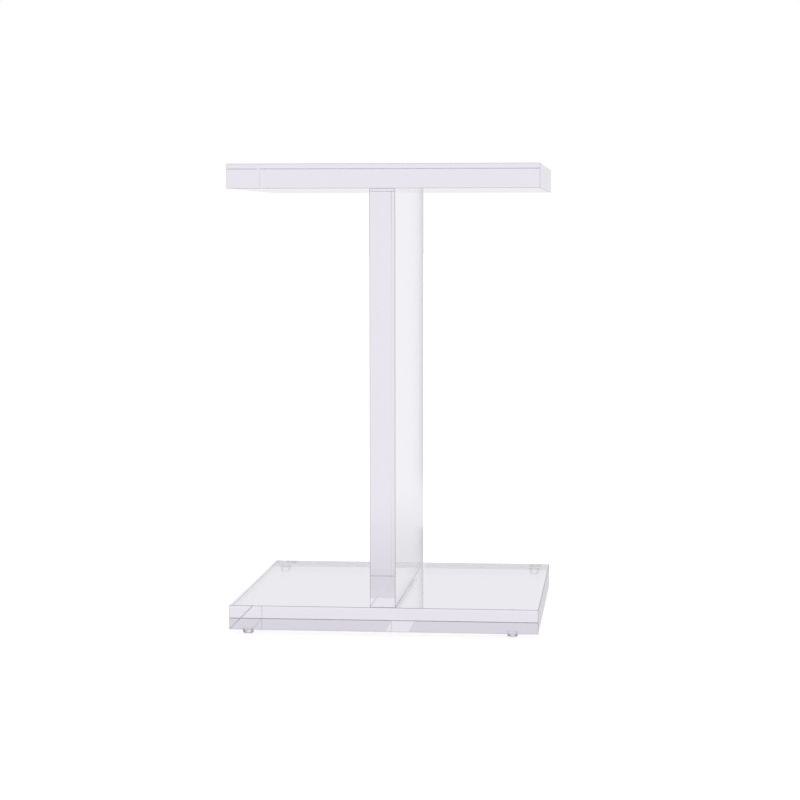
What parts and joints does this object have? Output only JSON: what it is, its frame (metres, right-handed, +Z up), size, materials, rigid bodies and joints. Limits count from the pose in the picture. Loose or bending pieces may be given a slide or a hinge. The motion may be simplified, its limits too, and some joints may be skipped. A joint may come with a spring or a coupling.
{
  "type": "bible stand",
  "caption": "Clear acrylic stand: square top and base slabs joined by a full-depth upright slab, on small clear bumper feet; carries a book, vase or ornament.",
  "frame": {"origin": "on the floor, under the middle of the stand", "axes": "+Z up, +X to the right seen from the front, -Y towards the front; the upright slab runs front to back"},
  "size_m": [0.3048, 0.3048, 0.4624],
  "materials": {
    "clear_acrylic": "clear cast acrylic, polished faces and edges",
    "acrylic_cement": "clear cured acrylic cement",
    "bumper_polyurethane": "clear soft polyurethane, glossy",
    "bumper_adhesive": "clear pressure-sensitive acrylic adhesive"
  },
  "bodies": {
    "root": {"top_slab": "clear_acrylic", "upright_slab": "clear_acrylic", "base_slab": "clear_acrylic", "upper_cement_line": "acrylic_cement", "lower_cement_line": "acrylic_cement", "foot_front_left": "bumper_polyurethane", "foot_front_right": "bumper_polyurethane", "foot_back_left": "bumper_polyurethane", "foot_back_right": "bumper_polyurethane", "foot_adhesive_front_left": "bumper_adhesive", "foot_adhesive_front_right": "bumper_adhesive", "foot_adhesive_back_left": "bumper_adhesive", "foot_adhesive_back_right": "bumper_adhesive"}
  },
  "joints": []
}
